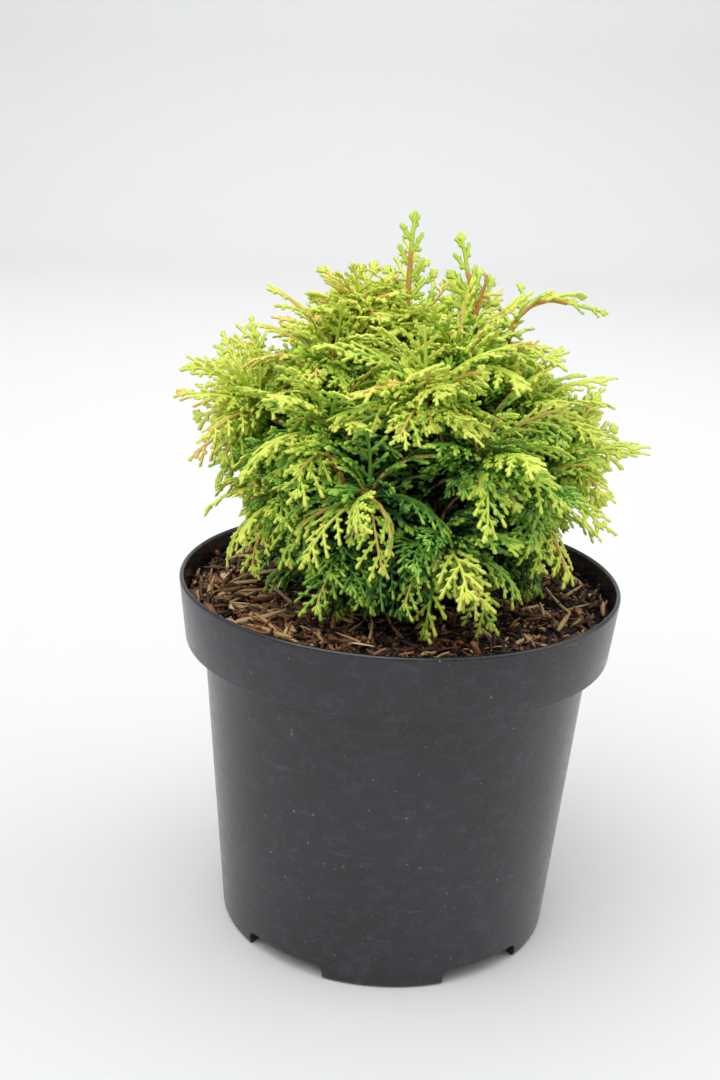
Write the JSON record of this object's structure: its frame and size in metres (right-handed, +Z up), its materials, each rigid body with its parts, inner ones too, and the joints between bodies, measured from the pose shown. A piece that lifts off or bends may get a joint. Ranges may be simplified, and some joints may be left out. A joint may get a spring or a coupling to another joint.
{
  "type": "dwarf hinoki cypress in a nursery pot",
  "caption": "Small rounded dwarf conifer with flat fans of golden-green scale leaves on a short trunk, growing in a black nursery pot topped with bark mulch.",
  "frame": {"origin": "middle of the pot's flat underside, on the floor", "axes": "+Z up along the plant, +Y away from the side that is seen first, +X to that side's right"},
  "size_m": [0.1819, 0.1712, 0.282],
  "materials": {
    "pot": "black nursery plastic with a soft shine, fine scratches and dust",
    "mulch": "shredded bark, brown and black with paler chips",
    "bark": "reddish brown bark in fine ridges",
    "foliage": "flat sprays of scale leaves, lime and gold outside, green inside"
  },
  "bodies": {
    "root": {"bark_mulch": "mulch", "bough_01": "bark", "bough_02": "bark", "bough_03": "bark", "bough_04": "bark", "bough_05": "bark", "bough_06": "bark", "bough_07": "bark", "bough_08": "bark", "bough_09": "bark", "bough_10": "bark", "bough_11": "bark", "bough_12": "bark", "bough_13": "bark", "bough_14": "bark", "bough_15": "bark", "bough_16": "bark", "bough_17": "bark", "bough_18": "bark", "bough_19": "bark", "bough_20": "bark", "bough_21": "bark", "bough_arch_right": "bark", "bough_leader_right": "bark", "bough_side_left": "bark", "bough_side_right": "bark", "bough_top_left": "bark", "foliage_01": "foliage", "foliage_02": "foliage", "foliage_03": "foliage", "foliage_04": "foliage", "foliage_05": "foliage", "foliage_06": "foliage", "foliage_07": "foliage", "foliage_08": "foliage", "foliage_09": "foliage", "foliage_10": "foliage", "foliage_11": "foliage", "foliage_12": "foliage", "foliage_13": "foliage", "foliage_14": "foliage", "foliage_15": "foliage", "foliage_16": "foliage", "foliage_17": "foliage", "foliage_18": "foliage", "foliage_19": "foliage", "foliage_20": "foliage", "foliage_21": "foliage", "foliage_arch_right": "foliage", "foliage_leader_left": "foliage", "foliage_leader_right": "foliage", "foliage_side_left": "foliage", "foliage_side_right": "foliage", "foliage_top_left": "foliage", "pot": "pot", "trunk": "bark"}
  },
  "joints": []
}
